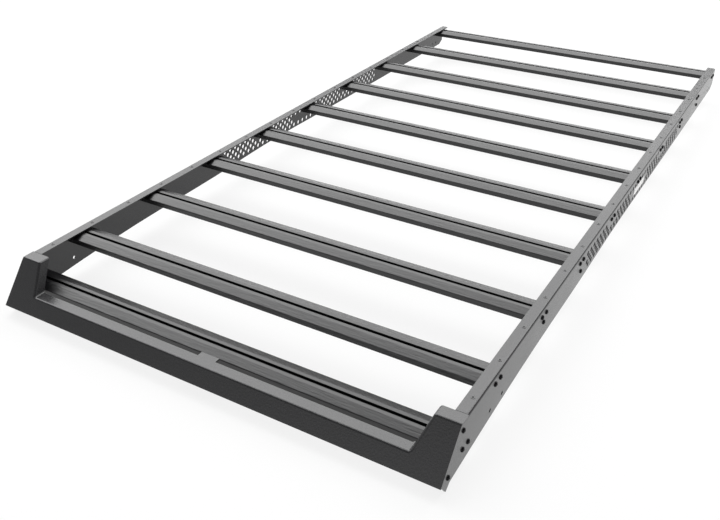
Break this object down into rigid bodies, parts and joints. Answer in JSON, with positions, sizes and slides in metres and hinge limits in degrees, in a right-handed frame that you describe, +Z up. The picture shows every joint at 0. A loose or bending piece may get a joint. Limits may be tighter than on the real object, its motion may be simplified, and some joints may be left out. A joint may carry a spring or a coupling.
{
  "type": "flat platform roof rack",
  "caption": "Flat roof rack platform: perforated bent side rails joined by slotted crossbars, with a bent wind fairing across the front.",
  "frame": {"origin": "middle of the rack's plan, level with the lowest points of the side rails", "axes": "+X to the right seen from behind the fairing looking along +Y, +Y from the fairing to the rear, +Z up"},
  "size_m": [1.17, 2.3994, 0.122],
  "materials": {
    "sheet_coat": "satin black powder coat on bent sheet",
    "bar_coat": "satin black powder coat on extrusion"
  },
  "bodies": {
    "root": {"left_side_rail": "sheet_coat", "right_side_rail": "sheet_coat", "front_fairing": "sheet_coat", "front_crossbar": "bar_coat", "deck_crossbar_1": "bar_coat", "deck_crossbar_2": "bar_coat", "deck_crossbar_3": "bar_coat", "deck_crossbar_4": "bar_coat", "deck_crossbar_5": "bar_coat", "deck_crossbar_6": "bar_coat", "deck_crossbar_7": "bar_coat", "deck_crossbar_8": "bar_coat", "deck_crossbar_9": "bar_coat"}
  },
  "joints": []
}
